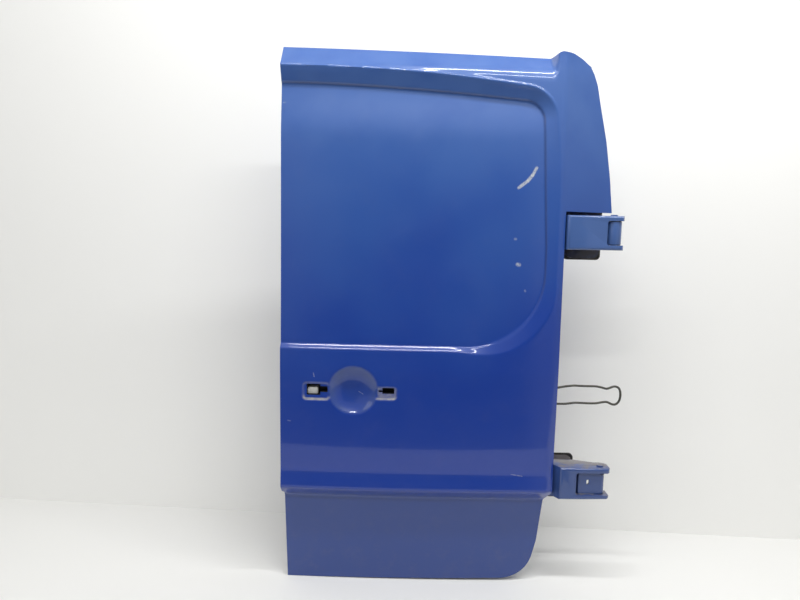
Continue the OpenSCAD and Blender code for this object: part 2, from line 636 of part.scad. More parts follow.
module check_rollers() {
    color("silver") place() for (s = [-1, 1])
        bar_y(wall_x - case_w / 2 - 2, check_y - case_room / 2 + fit, check_z + s * roller_z,
            check_half - wire_d / 2 - roller_z - 0.5, case_room - 2 * fit);
}
BUMP_Z = [skirt_z + 56, door_h - 224];
module bump_stops() {
    color("black") place() for (z = BUMP_Z)
        bar_y(col_l / 2, web_y + panel_t + fit, z, 11, 9);
}

outer_skin();
inner_side_latch();
inner_side_hinge();
inner_header();
inner_waist();
inner_belly();
inner_sill();
inner_posts();
wing_inner();
waist_rail();
window_bars();
handle_carrier();
handle_lever();
latch_case();
latch_claw();
inner_release();
hinge_plate(hinge_high_z, root_low[0], UPPER_BOLTS);  // hinge_plate_upper
hinge_plate(hinge_low_z, root_low[1], LOWER_BOLTS);  // hinge_plate_lower
hinge_arm(hinge_high_z, arm_from_high, notch_high, 0, root_low[0], UPPER_BOLTS);  // hinge_arm_upper
hinge_arm(hinge_low_z, arm_from_low, notch_low, arm_taper, root_low[1], LOWER_BOLTS);  // hinge_arm_lower
hinge_bolts(hinge_high_z, UPPER_BOLTS);  // hinge_bolts_upper
hinge_bolts(hinge_low_z, LOWER_BOLTS);  // hinge_bolts_lower
hinge_pin(hinge_high_z);  // hinge_pin_upper
hinge_pin(hinge_low_z);  // hinge_pin_lower
hinge_leaf(leaf_high_x, leaf_high_z, leaf_high_h, hinge_high_z, LEAF_HIGH, barrel_r, 0);  // hinge_leaf_upper
hinge_leaf(leaf_low_x, leaf_low_z, leaf_h, hinge_low_z, LEAF_LOW, low_barrel, 6);  // hinge_leaf_lower
leaf_rubber(leaf_high_x, leaf_high_z, leaf_high_h);  // leaf_rubber_upper
leaf_rubber(leaf_low_x, leaf_low_z, leaf_h);  // leaf_rubber_lower
check_case();
check_rollers();
check_loop();
bump_stops();
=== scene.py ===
import json
import math

import bmesh
import bpy
import numpy as np
from mathutils import Matrix, Vector


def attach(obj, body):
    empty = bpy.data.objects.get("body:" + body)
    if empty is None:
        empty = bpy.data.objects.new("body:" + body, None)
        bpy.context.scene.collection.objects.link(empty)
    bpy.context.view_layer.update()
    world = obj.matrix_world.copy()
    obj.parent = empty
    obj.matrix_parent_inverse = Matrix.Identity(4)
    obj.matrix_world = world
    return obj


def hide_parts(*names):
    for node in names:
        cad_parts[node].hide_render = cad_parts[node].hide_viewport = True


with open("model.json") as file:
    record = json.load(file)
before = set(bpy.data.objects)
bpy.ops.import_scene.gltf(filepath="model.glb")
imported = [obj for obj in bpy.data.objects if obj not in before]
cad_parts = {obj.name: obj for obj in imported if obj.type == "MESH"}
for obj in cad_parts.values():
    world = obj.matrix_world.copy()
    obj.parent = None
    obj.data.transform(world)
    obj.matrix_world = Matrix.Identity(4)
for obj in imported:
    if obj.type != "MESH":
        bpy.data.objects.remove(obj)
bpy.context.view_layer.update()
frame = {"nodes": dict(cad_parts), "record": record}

# The door's own millimetres: X from the closing edge, Y inwards, Z up from the bottom edge.
ORIGIN = np.array([758.0, 100.0, 285.0])


def row(points):
    """Door millimetres to the row's metres."""
    return (np.asarray(points, dtype=float) - ORIGIN) / 1000.0


# Camera, as fitted to the photograph.
CAMERA_AT = (310.0, -1604.0, 963.0)
CAMERA_PITCH, CAMERA_ROLL = 6.3, 1.2
FOCAL_PX, WIDTH_PX = 620.0, 800.0


def make_camera():
    data = bpy.data.cameras.new("camera")
    data.sensor_width = 36.0
    data.lens = FOCAL_PX / WIDTH_PX * data.sensor_width
    cam = bpy.data.objects.new("camera", data)
    bpy.context.scene.collection.objects.link(cam)
    level = Matrix.Rotation(math.radians(90 - CAMERA_PITCH), 4, "X")
    roll = Matrix.Rotation(math.radians(CAMERA_ROLL), 4, "Z")
    cam.matrix_world = Matrix.Translation(Vector(row(CAMERA_AT))) @ level @ roll
    bpy.context.scene.camera = cam


# The outer sheet's form, in door millimetres. These values repeat the part's own, apart from finer edges.
DOOR_H, DOOR_W = 1424.0, 730.0
SKIN_T, HEM_W = 1.2, 12.0
WAIST_Z, RECESS_DEPTH, RECESS_X = 668.0, 11.0, 682.0
LOW_R, TOP_R, SLOPE_W, LEDGE_W = 195.0, 45.0, 40.0, 11.0
SKIRT_Z, SKIRT_STEP = 244.0, 34.0
CREST_Z, CREST_DROP, ROOF_BACK = 1372.0, 10.0, 45.0
WING_Z, WING_W, WING_TURN, WING_ROOF, BOW = 1023.0, 868.0, 25.0, 0.06, 9.0
DISH_X, DISH_Z, DISH_R, DISH_DEPTH = 192.0, 547.0, 64.0, 18.0
LEFT_IN, CORNER_R, CORNER = 12.0, 90.0, (DOOR_W - 128, 98.0)
CORNER_TOP = (CORNER[0] + CORNER_R * math.cos(math.radians(13)), CORNER[1] - CORNER_R * math.sin(math.radians(13)))
CORNER_MID = (CORNER[0] + CORNER_R / math.sqrt(2), CORNER[1] - CORNER_R / math.sqrt(2))
FOOT_Z = 130.0
ROOF_DROP, CAP_X, WING_END = 18.0, DOOR_W - 50, (WING_W - 87, DOOR_H - 37)
SKIRT_RIGHT = [CORNER_TOP[::-1], (122, DOOR_W - 30), (166, DOOR_W - 26), (SKIRT_Z - 2, DOOR_W - 18),
               (SKIRT_Z + 8, DOOR_W - 11), (SKIRT_Z + 20, DOOR_W)]
WING_RIGHT = [(WING_Z, WING_W), (1109, WING_W - 11), (1207, WING_W - 29), (1294, WING_W - 52),
              (1343, WING_W - 64), (1371, WING_W - 76), WING_END[::-1]]
WING_TOP = [(CAP_X, DOOR_H - ROOF_DROP), (CAP_X + 8, DOOR_H - 15), (CAP_X + 21, DOOR_H - 8),
            (CAP_X + 52, DOOR_H - 11), (CAP_X + 78, DOOR_H - 22), WING_END]
FRAME = [(0, SKIRT_STEP + 4), (SKIRT_Z, SKIRT_STEP - 9), (SKIRT_Z + 32, -9), (320, -5), (434, -9),
         (597, -14), (900, -11), (CREST_Z - 12, -11), (CREST_Z, -9), (DOOR_H, ROOF_BACK - 9)]
PAD_DEPTH = 3.0
PADS = [(58, 518, 74, 50), (246, 523, 62, 36)]
SLOTS = [(70, 106, 532, 562), (106, 125, 540, 556), (259, 269, 544, 549), (269, 300, 540, 556)]
# The crest: where its own form sets in, how wide it is rounded at the left and how much more at the cap.
FACE_Y, CREST_FROM, CREST_FULL = -11.0, 1250, 1350
CREST_ROUND, CAP_ROUND, CAP_EDGE = 7.0, 13.0, (CAP_X - 2, CAP_X + 15)
# The window's outline: its side leans in towards the top, and its upper edge falls away to the right.
LEAN, LEAN_FROM, LEAN_OVER = 18, 923, 321
TOP_GAP, TOP_FALL, FALL_POWER = 43, 40, 1.6
# The window's border: a small inner step, a slope, and a bead along the top.
CREASE_R, STEP, STEP_W, STEP_ROUND = 3.0, 0.24, 4.0, 1.2
TOP_EXTRA_DEPTH, EXTRA_RANGE, TOP_NARROWER = 12, (1200, 1335), 8
BEAD, BEAD_W, BEAD_RANGE = 2.0, 3.5, (1265, 1325)
# The handle's dish: how its rim is rounded, as a share of its depth.
DISH_POWER, DISH_RIM = 3, 0.05
PAD_EDGE = 5
TURN_OVER = 16


def clamp(v):
    return np.clip(v, 0, 1)


def smooth(v):
    c = clamp(v)
    return c * c * (3 - 2 * c)


def ramp(a, b, v):
    return smooth((v - a) / (b - a))


def soft_clamp(v, e):
    """Clamp to 0..1 with both corners rounded over the distance e."""
    rise = lambda u: np.where(u < -e, 0, np.where(u > e, u, (u + e) ** 2 / (4 * e)))
    return rise(v) - rise(v - 1)


def table(v, points):
    return np.interp(v, [p[0] for p in points], [p[1] for p in points])


def soft_table(v, points, radius):
    """The same broken line with its corners rounded off over a radius."""
    steps = np.linspace(-1, 1, 9)
    weights = np.cos(steps * math.pi / 2.2)
    return sum(w * table(v + s * radius, points) for s, w in zip(steps, weights)) / weights.sum()


def frame_y(x, z):
    """The door's upright profile: skirt, belly, face, crest and roof, and the cap over the wing."""
    across, high = clamp(x / CAP_X), ramp(CREST_FROM, CREST_FULL, z)
    y = soft_table(z + CREST_DROP * across * high, FRAME, CREST_ROUND + CAP_ROUND * across * high)
    roof = np.where(z > CREST_FROM, np.maximum(y - FACE_Y, 0), 0)
    return y - roof * (1 - WING_ROOF) * ramp(*CAP_EDGE, x)


def left_x(z):
    return np.where(z > SKIRT_Z + 10, 0, table(z, [(0, LEFT_IN), (SKIRT_Z, LEFT_IN / 2)]))


def right_x(z):
    arc = CORNER[0] + np.sqrt(np.maximum(0, CORNER_R ** 2 - (CORNER[1] - z) ** 2))
    return np.where(z < CORNER_TOP[1], arc, table(z, SKIRT_RIGHT))


def bottom_z(x):
    arc = CORNER[1] - np.sqrt(CORNER_R ** 2 - np.maximum(0, np.minimum(x, CORNER_MID[0]) - CORNER[0]) ** 2)
    return np.where(x < CORNER[0], 8 * clamp(x / CORNER[0]), arc)


def top_z(x):
    return np.where(x < CAP_X, DOOR_H - ROOF_DROP * x / CAP_X, soft_table(x, WING_TOP, 6.0))


def recess_in(x, z):
    """Distance inside the window's outline; negative outside it."""
    a = RECESS_X - LEAN * clamp((z - LEAN_FROM) / LEAN_OVER) - x
    b = z - WAIST_Z
    c = CREST_Z - TOP_GAP - TOP_FALL * clamp(x / RECESS_X) ** FALL_POWER - z
    low = LOW_R - np.hypot(LOW_R - a, LOW_R - b)
    top = TOP_R - np.hypot(TOP_R - a, TOP_R - c)
    plain = np.minimum(np.minimum(a, b), c)
    return np.where((a < LOW_R) & (b < LOW_R), low, np.where((a < TOP_R) & (c < TOP_R), top, plain))


def recess(x, z):
    wide = np.maximum(ramp(RECESS_X - 250, RECESS_X - 30, x), ramp(WAIST_Z + 90, WAIST_Z + 250, z))
    narrower = TOP_NARROWER * ramp(RECESS_X / 2, RECESS_X, x) * ramp(1150, 1250, z)
    w = LEDGE_W + (SLOPE_W - LEDGE_W) * wide - narrower
    out = -recess_in(x, z)
    step = STEP * (1 - soft_clamp(out / STEP_W, STEP_ROUND / STEP_W))
    slope = (1 - STEP) * (1 - soft_clamp((out - STEP_W) / (w - STEP_W), CREASE_R / (w - STEP_W)))
    bead = BEAD * np.exp(-((out - w - 2) / BEAD_W) ** 2) * ramp(*BEAD_RANGE, z)
    return (RECESS_DEPTH + TOP_EXTRA_DEPTH * ramp(*EXTRA_RANGE, z)) * (step + slope) - bead


def dish(x, z):
    d = np.hypot(x - DISH_X, z - DISH_Z) / DISH_R
    bowl, e = 1 - d ** DISH_POWER, DISH_RIM
    return DISH_DEPTH * np.where(bowl > e, bowl, np.where(bowl > -e, (bowl + e) ** 2 / (4 * e), 0))


def pad_out(x, z, x0, z0, w, h, r=12.0):
    """Distance outside a pad with rounded corners; negative inside it."""
    dx = np.abs(x - x0 - w / 2) - w / 2 + r
    dz = np.abs(z - z0 - h / 2) - h / 2 + r
    return np.hypot(np.maximum(dx, 0), np.maximum(dz, 0)) + np.minimum(np.maximum(dx, dz), 0) - r


def pad(x, z):
    return PAD_DEPTH * np.maximum.reduce([ramp(0, PAD_EDGE, -pad_out(x, z, *p)) for p in PADS])


def turned(x):
    """How far the hinge side and the wing turn back."""
    d = x - (DOOR_W - TURN_OVER * 1.5)
    bend = np.where(d < TURN_OVER, d * d / (2 * TURN_OVER), d - TURN_OVER / 2)
    return math.tan(math.radians(WING_TURN)) * np.where(d < 0, 0, bend)


def bowed(x):
    return -BOW * (1 - np.minimum(1, np.abs(x / (DOOR_W / 2) - 1)) ** 2)


def skin_y(x, z):
    return frame_y(x, z) + bowed(x) + recess(x, z) + np.maximum(dish(x, z), pad(x, z)) + turned(x)


def marks(x, z):
    """Where the outer face is darkened or marked: painted shade along the window's inner edge, dust with a painted
    sheen in the dish, and soil round the pads' rims.
    """
    out = -recess_in(x, z)
    # Painted shade: a dark line along the window's inner edge, left out along its bottom and at its left end.
    painted_crease_shade = np.exp(-((out - 1.5) / 2.6) ** 2) * ramp(WAIST_Z + 50, WAIST_Z + 230, z) * ramp(-60, 60, x)
    d = np.hypot(x - DISH_X, z - DISH_Z) / DISH_R
    # Partly dust, partly a painted sheen: a lighter tone in the dish, strongest at its rim and its upper wall.
    dish_dust_and_sheen = ramp(1.02, 0.97, d) * (0.35 + 0.65 * ramp(0.55, 0.9, np.hypot(x - DISH_X, z - DISH_Z + 10) / DISH_R))
    rim = np.zeros_like(x)
    for x0, z0, w, h in PADS:
        edge = pad_out(x, z, x0, z0, w, h)
        low = ramp(z0 + 0.35 * h, z0 + 0.05 * h, z)
        band = ramp(4.5, 1, np.abs(edge + 3.5)) * (0.12 + 0.88 * low)
        inside = 0.45 * ramp(-1, -5, edge) * (x0 > DISH_X)
        rim = np.maximum(rim, np.maximum(band, inside) * ramp(1.0, 1.04, d))
    return np.stack([painted_crease_shade, dish_dust_and_sheen, rim, np.ones_like(x)], -1)


def inward(x, z):
    """The sheet's unit normal, pointing into the door."""
    sx = (skin_y(x + 0.5, z) - skin_y(x - 0.5, z))
    sz = (skin_y(x, z + 0.5) - skin_y(x, z - 0.5))
    n = np.stack([-sx, np.ones_like(sx), -sz], -1)
    return n / np.linalg.norm(n, axis=-1, keepdims=True)


def lines(marks, step, fine=()):
    """Grid lines through every mark, no further apart than the step, or than a fine stretch's own."""
    out = [marks[0]]
    for a, b in zip(marks, marks[1:]):
        gap = min([step] + [f[2] for f in fine if f[0] < (a + b) / 2 < f[1]])
        count = max(1, math.ceil((b - a) / gap))
        out += [a + (b - a) * (k + 1) / count for k in range(count)]
    return np.array(out)


def make_skin(material):
    """The outer sheet as one closed shell over a grid, with its slots open and its marks, painted shade and soil,
    as a colour attribute.
    """
    marks_x = sorted({0, 1.5, 4, HEM_W, 20, 44, 70, 106, 125, 259, 269, 300, 312, 340, 430, 480, 560, 640,
                      CAP_X - 4, DOOR_W - 30, DOOR_W - HEM_W, DOOR_W - 3, DOOR_W})
    xs = lines(marks_x, 11.0, [(0, 4, 2.0), (54, 140, 3.2), (140, 240, 4.4), (240, 312, 3.2), (480, 640, 5.4),
                               (640, CAP_X - 4, 2.4), (CAP_X - 4, DOOR_W - 30, 1.7), (DOOR_W - 30, DOOR_W, 2.6)])
    ws = lines([0, 0.3, 0.6, 0.9, 0.97, 1.0], 0.08)[1:]
    marks_z = sorted({0, 1.5, 4, HEM_W, 40, FOOT_Z, 200, SKIRT_Z - 16, SKIRT_Z + 40, 320, 434, 470, 514, 532, 540,
                      544, 549, 556, 562, 572, 620, WAIST_Z - 24, WAIST_Z + 10, 740, 850, 980, WING_Z - 3, WING_Z,
                      WING_Z + 3, WING_Z + HEM_W, 1080, 1220, CREST_Z - 110, CREST_Z})
    zs = lines(marks_z, 14.0, [(0, 4, 2.0), (SKIRT_Z - 16, SKIRT_Z + 40, 3.2), (514, 572, 3.2), (470, 620, 4.4),
                               (WAIST_Z - 24, WAIST_Z + 10, 1.8), (WAIST_Z + 10, 850, 5.8), (1220, CREST_Z, 3.3)])
    ts = lines([0, 0.2, 0.6, 0.95, 1.0], 0.06)[1:]
    nx, nz = len(xs) + len(ws), len(zs) + len(ts)
    base = np.concatenate([zs, CREST_Z + (WING_END[1] - CREST_Z) * ts])
    foot = clamp(1 - base / FOOT_Z)
    right = right_x(base + CORNER_MID[1] * foot)
    x = np.zeros((nx, nz))
    x[:len(xs)] = left_x(base)[None] + xs[:, None] / DOOR_W * (right - left_x(base))[None]
    wing = soft_table(np.maximum(base, WING_Z), WING_RIGHT, 8.0)
    x[len(xs):] = DOOR_W + ws[:, None] * (wing - DOOR_W)[None]
    across = np.concatenate([xs, np.full(len(ws), DOOR_W)])
    lift = bottom_z(LEFT_IN + across / DOOR_W * (CORNER_MID[0] - LEFT_IN))
    z = base[None] + lift[:, None] * foot[None]
    over = np.arange(len(zs), nz)
    z[:, over] = CREST_Z + (top_z(x[:, over]) - CREST_Z) * ts[None]
    wing_row = int(np.argmin(abs(zs - WING_Z)))
    i, j = np.meshgrid(np.arange(nx - 1), np.arange(nz - 1), indexing="ij")
    on = (i < len(xs) - 1) | (j >= wing_row)
    for x0, x1, z0, z1 in SLOTS:
        xi = np.append(xs, np.full(len(ws), 9999.0))
        on &= ~((xi[i] >= x0 - 0.01) & (xi[np.minimum(i + 1, nx - 1)] <= x1 + 0.01)
                & (base[j] >= z0 - 0.01) & (base[j + 1] <= z1 + 0.01))
    y = skin_y(x, z)
    near = np.stack([x, y, z], -1)
    far = near + inward(x, z) * SKIN_T
    m = nx * nz
    at = lambda a, b: a * nz + b
    faces = []
    for a, b in zip(*np.nonzero(on)):
        p, q, r, s = at(a, b), at(a + 1, b), at(a + 1, b + 1), at(a, b + 1)
        faces.append((p, q, r, s))
        faces.append((m + p, m + s, m + r, m + q))
        ok = lambda u, v: 0 <= u < nx - 1 and 0 <= v < nz - 1 and on[u, v]
        if not ok(a - 1, b):
            faces.append((p, s, m + s, m + p))
        if not ok(a + 1, b):
            faces.append((q, m + q, m + r, r))
        if not ok(a, b - 1):
            faces.append((p, m + p, m + q, q))
        if not ok(a, b + 1):
            faces.append((s, r, m + r, m + s))
    verts = row(np.concatenate([near.reshape(-1, 3), far.reshape(-1, 3)]))
    used = np.unique(np.array([v for f in faces for v in f]))
    index = np.full(len(verts), -1)
    index[used] = np.arange(len(used))
    mesh = bpy.data.meshes.new("door_skin")
    mesh.from_pydata(verts[used].tolist(), [], [[int(index[v]) for v in f] for f in faces])
    # The marks hold painted shade and a painted sheen as well as soil.
    painted_shade_and_soil = marks(x, z).reshape(-1, 4)
    layer = mesh.color_attributes.new("painted_shade_and_soil", "FLOAT_COLOR", "POINT")
    layer.data.foreach_set("color", np.concatenate([painted_shade_and_soil, 0 * painted_shade_and_soil])[used].ravel())
    for poly in mesh.polygons:
        poly.use_smooth = True
    mesh.set_sharp_from_angle(angle=math.radians(50))
    skin = bpy.data.objects.new("door_skin", mesh)
    bpy.context.scene.collection.objects.link(skin)
    mesh.materials.append(material)
    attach(skin, "door")
    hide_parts("outer_skin")
    return skin


# Smaller dressed pieces.
def piece(name, verts, faces, body, material, slot, smooth=40.0):
    mesh = bpy.data.meshes.new(name)
    mesh.from_pydata(row(verts).tolist(), [], faces)
    for poly in mesh.polygons:
        poly.use_smooth = True
    mesh.set_sharp_from_angle(angle=math.radians(smooth))
    obj = bpy.data.objects.new(name, mesh)
    bpy.context.scene.collection.objects.link(obj)
    mesh.materials.append(material)
    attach(obj, body)
    return obj


def rounded(x0, z0, x1, z1, radii, steps=5):
    """Corner points of a rectangle, one radius each for the lower left, lower right, upper right, upper left."""
    out = []
    for (cx, cz, a0), r in zip(((x0, z0, 180), (x1, z0, 270), (x1, z1, 0), (x0, z1, 90)), radii):
        mx, mz = cx + (r if cx == x0 else -r), cz + (r if cz == z0 else -r)
        for k in range(steps + 1):
            a = math.radians(a0 + 90 * k / steps)
            out.append((mx + r * math.cos(a), mz + r * math.sin(a)))
    return out


def circle(u, v, radius, sides):
    turns = np.linspace(0, 2 * math.pi, sides + 1)[:-1]
    return [(u + radius * math.cos(a), v + radius * math.sin(a)) for a in turns]


def slab(outline, rings):
    """A solid through rings of one outline, each ring given by its depth and how far it is drawn in."""
    mid = np.mean(outline, axis=0)
    pts = np.array(outline)
    size = np.abs(pts - mid).max(axis=0)
    verts, faces, n = [], [], len(pts)
    for y, inset in rings:
        at = mid + (pts - mid) * (1 - inset / size)
        verts += [(p[0], y, p[1]) for p in at]
    for k in range(len(rings) - 1):
        faces += [(k * n + i, k * n + (i + 1) % n, (k + 1) * n + (i + 1) % n, (k + 1) * n + i) for i in range(n)]
    faces.append(tuple(range(n - 1, -1, -1)))
    faces.append(tuple(range((len(rings) - 1) * n, len(rings) * n)))
    return verts, faces


def prism(outline, low, high):
    """An upright solid over an outline seen from above."""
    n = len(outline)
    verts = [(x, y, z) for z in (low, high) for x, y in outline]
    faces = [(i, (i + 1) % n, n + (i + 1) % n, n + i) for i in range(n)]
    return verts, faces + [tuple(range(n - 1, -1, -1)), tuple(range(n, 2 * n))]


def tube(path, radius, sides=14):
    """A round bar along a closed path in the plane of the loop."""
    path = np.asarray(path, dtype=float)
    along = np.roll(path, -1, axis=0) - np.roll(path, 1, axis=0)
    along /= np.linalg.norm(along, axis=1, keepdims=True)
    side = np.cross(along, (0.0, 1.0, 0.0))
    verts = [p + radius * (math.cos(a) * u + math.sin(a) * np.array((0.0, 1.0, 0.0)))
             for p, u in zip(path, side) for a in np.linspace(0, 2 * math.pi, sides, endpoint=False)]
    n = len(path)
    at = lambda k, i: k % n * sides + i % sides
    faces = [(at(k, i), at(k, i + 1), at(k + 1, i + 1), at(k + 1, i)) for k in range(n) for i in range(sides)]
    return verts, faces


def rounded_path(points, steps=6):
    """A closed Catmull-Rom curve through the points."""
    pts = np.asarray(points, dtype=float)
    a, b, c, d = (np.roll(pts, s, axis=0)[:, None] for s in (1, 0, -1, -2))
    t = np.linspace(0, 1, steps, endpoint=False)[None, :, None]
    out = 0.5 * (2 * b + (c - a) * t + (2 * a - 5 * b + 4 * c - d) * t ** 2 + (3 * b - a - 3 * c + d) * t ** 3)
    return out.reshape(-1, pts.shape[1])


def softened(node, body, material, radius):
    """A copy of a solid with its sharp edges rounded."""
    source = frame["nodes"][node]
    mesh = bpy.data.meshes.new(node + "_soft")
    bm = bmesh.new()
    bm.from_mesh(source.data)
    bmesh.ops.remove_doubles(bm, verts=bm.verts, dist=1e-6)
    bmesh.ops.dissolve_limit(bm, angle_limit=math.radians(3), verts=bm.verts, edges=bm.edges)
    sharp = [e for e in bm.edges if len(e.link_faces) == 2 and e.calc_face_angle(0) > math.radians(40)
             and e.calc_length() > 1e-4]
    bmesh.ops.bevel(bm, geom=sharp, offset=radius / 1000, offset_type="OFFSET", segments=3, profile=0.5,
                    affect="EDGES", clamp_overlap=True)
    bm.to_mesh(mesh)
    bm.free()
    for poly in mesh.polygons:
        poly.use_smooth = poly.area < 60e-6
    mesh.set_sharp_from_angle(angle=math.radians(35))
    obj = bpy.data.objects.new(node + "_soft", mesh)
    bpy.context.scene.collection.objects.link(obj)
    obj.matrix_world = source.matrix_world.copy()
    mesh.materials.append(material)
    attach(obj, body)
    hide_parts(node)
    return obj


PIN, WASHER_T = (858.0, 10.0), 1.4
CHECK_Y, CHECK_Z, WIRE_R = 30.0, 536.0, 3.0
WIRE_TOP = [(640, 0), (643, 12), (652, 21), (664, 24), (685, 24), (700, 24), (722, 18.5), (736, 18),
            (748, 20), (765, 23), (784, 25), (800, 24.5), (825, 24.2), (842, 24), (856, 21.5), (870, 18.3),
            (879, 20.5), (888, 24), (895, 24.5), (902, 21.5), (907, 14)]
WIRE_LOW = [(909, 0), (907, -13), (902, -21), (895, -25), (886, -24), (878, -20), (870, -18.2), (857, -20),
            (843, -22.5), (825, -23), (805, -22.5), (786, -22.5), (764, -25.5), (748, -26), (736, -26),
            (722, -25), (700, -24), (685, -24), (664, -24), (652, -21), (643, -12)]


INNER = ("inner_side_latch", "inner_side_hinge", "inner_header", "inner_waist", "inner_belly", "inner_sill",
         "inner_posts")
PLUGS = [(34, 1090), (34, 905), (34, 300), (692, 1180), (692, 860), (692, 700), (692, 400), (365, 640), (150, 1340),
         (560, 1335), (365, 240)]
CLIPS = ([(x, z) for z in (715, 595) for x in (90, 235, 495, 640)]
         + [(x, z) for z in (330, 200) for x in (120, 300, 430, 600)])


def back_at(x, z):
    """How far in the inner pressings reach at a spot, in door millimetres, or None beside them."""
    start, way = Vector(row((x, 300.0, z))), Vector((0, -1, 0))
    hits = [frame["nodes"][node].ray_cast(start, way) for node in INNER]
    depths = [hit[1].y * 1000 + ORIGIN[1] for hit in hits if hit[0]]
    return max(depths) if depths else None


def buttons(name, spots, radius, rise, material):
    """Round heads set in the inner pressings."""
    verts, faces = [], []
    for x, z in spots:
        y = back_at(x, z)
        if y is None:
            continue
        more, sides = slab(circle(x, z, radius, 24), [(y - 1, 0), (y + rise / 2, 0), (y + rise, 0.35 * radius)])
        faces += [tuple(len(verts) + i for i in side) for side in sides]
        verts += more
    piece(name, verts, faces, "door", material, "black_plastic")


def make_small_pieces(materials):
    buttons("panel_plugs", PLUGS, 9.0, 1.6, materials["black_plastic"])
    buttons("trim_clips", CLIPS, 4.5, 2.0, materials["black_plastic"])
    path = [(x, CHECK_Y, CHECK_Z + z) for x, z in rounded_path(WIRE_TOP + WIRE_LOW)]
    wire = piece("check_wire", *tube(path, WIRE_R), "check_loop", materials["wire_steel"], "wire_steel")
    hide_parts("check_loop")
    for node, body, radius in (("hinge_arm_upper", "door", 3.0), ("hinge_arm_lower", "door", 5.0),
                               ("hinge_leaf_upper", "pillar_leaves", 2.4)):
        softened(node, body, materials["hinge_blue"], radius)
    lever = piece("lever_end", *slab(rounded(70.8, 532.6, 98.5, 551, (2.5, 2.5, 5, 7)),
                  [(-6, 3), (-5.4, 1), (-4, 0), (18, 0)]), "door",
                  materials["grey_plastic"], "grey_plastic")
    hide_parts("handle_lever")
    top = [(799, -2), (858, -2), (858, 4), (808, 4), (804, 8), (804, 60), (796, 60), (796, 7)]
    piece("leaf_lower_top", *prism(top, 324.9, 331.0), "pillar_leaves", materials["hinge_blue"], "hinge_blue")
    for k, (z, r) in enumerate(((1000.0, 19), (940.0, 19), (331.9, 11.5), (272.0, 11.5))):
        ring = circle(*PIN, r, 32)
        piece(f"hinge_washer_{k}", *prism(ring, z - WASHER_T / 2, z + WASHER_T / 2), "door",
              materials["black_plastic"], "black_plastic")
    # Painted shade: black sheets behind the handle's slots stand in for the shadowed inside of the door.
    for k, (x0, x1) in enumerate(((62, 132), (246, 308))):
        piece(f"slot_shade_sheet_{k}", *slab(rounded(x0, 522, x1, 572, (4, 4, 4, 4)), [(19.5, 0), (20.5, 0)]), "door",
              materials["black_plastic"], "black_plastic")


